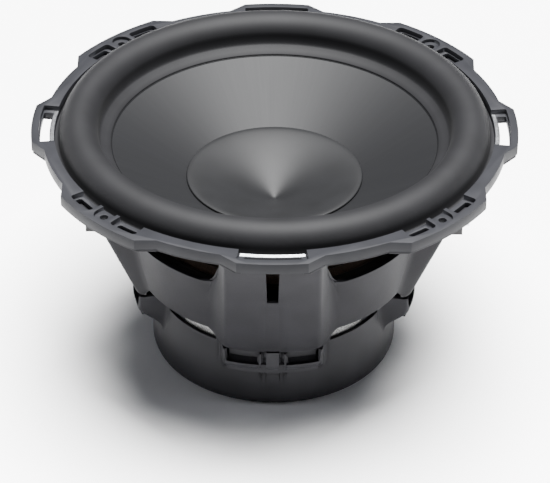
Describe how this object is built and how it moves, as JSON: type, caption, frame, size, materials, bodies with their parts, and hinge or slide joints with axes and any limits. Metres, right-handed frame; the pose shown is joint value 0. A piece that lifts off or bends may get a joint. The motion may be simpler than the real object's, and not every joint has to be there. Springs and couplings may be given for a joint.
{
  "type": "car subwoofer driver",
  "caption": "Round car subwoofer driver with a tabbed trim ring, half-roll surround, straight cone, inverted dust cap, leaning-leg pressed basket, moulded magnet cover and push terminals.",
  "frame": {"origin": "middle of the magnet cover's base, on the speaker's axis", "axes": "+Z along the speaker's axis towards the listener, -Y towards the front leg, the two terminal legs on +X and -X"},
  "size_m": [0.328, 0.328, 0.1854],
  "materials": {
    "basket": "fine textured black powder coat",
    "trim": "satin dark grey moulding",
    "gasket": "closed-cell foam",
    "surround": "matte moulded rubber",
    "spider": "resin-treated woven cloth",
    "landing_board": "dark pressed board",
    "tinsel": "braided tinsel lead",
    "zinc_steel": "zinc-plated steel",
    "ferrite": "ground sintered ferrite",
    "aluminium": "satin aluminium",
    "screen": "black perforated steel",
    "cover": "satin black moulded boot",
    "dark_screw": "black-oxide screw",
    "bright_screw": "bright plated screw",
    "terminal_plastic": "black moulded housing",
    "contact_brass": "stamped brass",
    "cone": "pressed fibre with fine radial brushing",
    "dust_cap": "smooth satin moulding",
    "copper_wire": "enamelled copper winding",
    "neck_ring": "black adhesive ring",
    "button": "satin nickel plating"
  },
  "bodies": {
    "root": {"basket_rim": "basket", "basket_legs": "basket", "basket_band": "basket", "trim_ring": "trim", "mounting_gasket": "gasket", "surround": "surround", "spider": "spider", "spider_landing_ring": "landing_board", "tinsel_leads": "tinsel", "top_plate": "zinc_steel", "front_magnet": "ferrite", "rear_magnet": "ferrite", "pole_piece": "zinc_steel", "shorting_ring": "aluminium", "pole_vent_screen": "screen", "magnet_cover": "cover", "cover_screws": "dark_screw", "plate_screws": "bright_screw", "left_terminal_housing": "terminal_plastic", "right_terminal_housing": "terminal_plastic", "left_terminal_contacts": "contact_brass", "right_terminal_contacts": "contact_brass", "left_terminal_springs": "contact_brass", "right_terminal_springs": "contact_brass", "terminal_screws": "bright_screw"},
    "moving_cone": {"cone": "cone", "dust_cap": "dust_cap", "coil_former": "aluminium", "upper_winding": "copper_wire", "lower_winding": "copper_wire", "neck_ring": "neck_ring", "lead_lugs": "contact_brass"},
    "left_front_push": {"left_front_button": "button"},
    "left_rear_push": {"left_rear_button": "button"},
    "right_front_push": {"right_front_button": "button"},
    "right_rear_push": {"right_rear_button": "button"}
  },
  "joints": [
    {"name": "cone_travel", "type": "slide", "parent": "root", "child": "moving_cone", "axis": [0, 0, 1], "range_m": [-0.014, 0.014], "stiffness_N_per_m": 6000, "deforming": ["surround", "spider", "tinsel_leads"]},
    {"name": "left_front_press", "type": "slide", "parent": "root", "child": "left_front_push", "axis": [1, 0, 0], "range_m": [0, 0.003], "stiffness_N_per_m": 400, "springref_m": -0.003, "deforming": ["left_terminal_springs"]},
    {"name": "left_rear_press", "type": "slide", "parent": "root", "child": "left_rear_push", "axis": [1, 0, 0], "range_m": [0, 0.003], "stiffness_N_per_m": 400, "springref_m": -0.003, "deforming": ["left_terminal_springs"]},
    {"name": "right_front_press", "type": "slide", "parent": "root", "child": "right_front_push", "axis": [-1, 0, 0], "range_m": [0, 0.003], "stiffness_N_per_m": 400, "springref_m": -0.003, "deforming": ["right_terminal_springs"]},
    {"name": "right_rear_press", "type": "slide", "parent": "root", "child": "right_rear_push", "axis": [-1, 0, 0], "range_m": [0, 0.003], "stiffness_N_per_m": 400, "springref_m": -0.003, "deforming": ["right_terminal_springs"]}
  ]
}
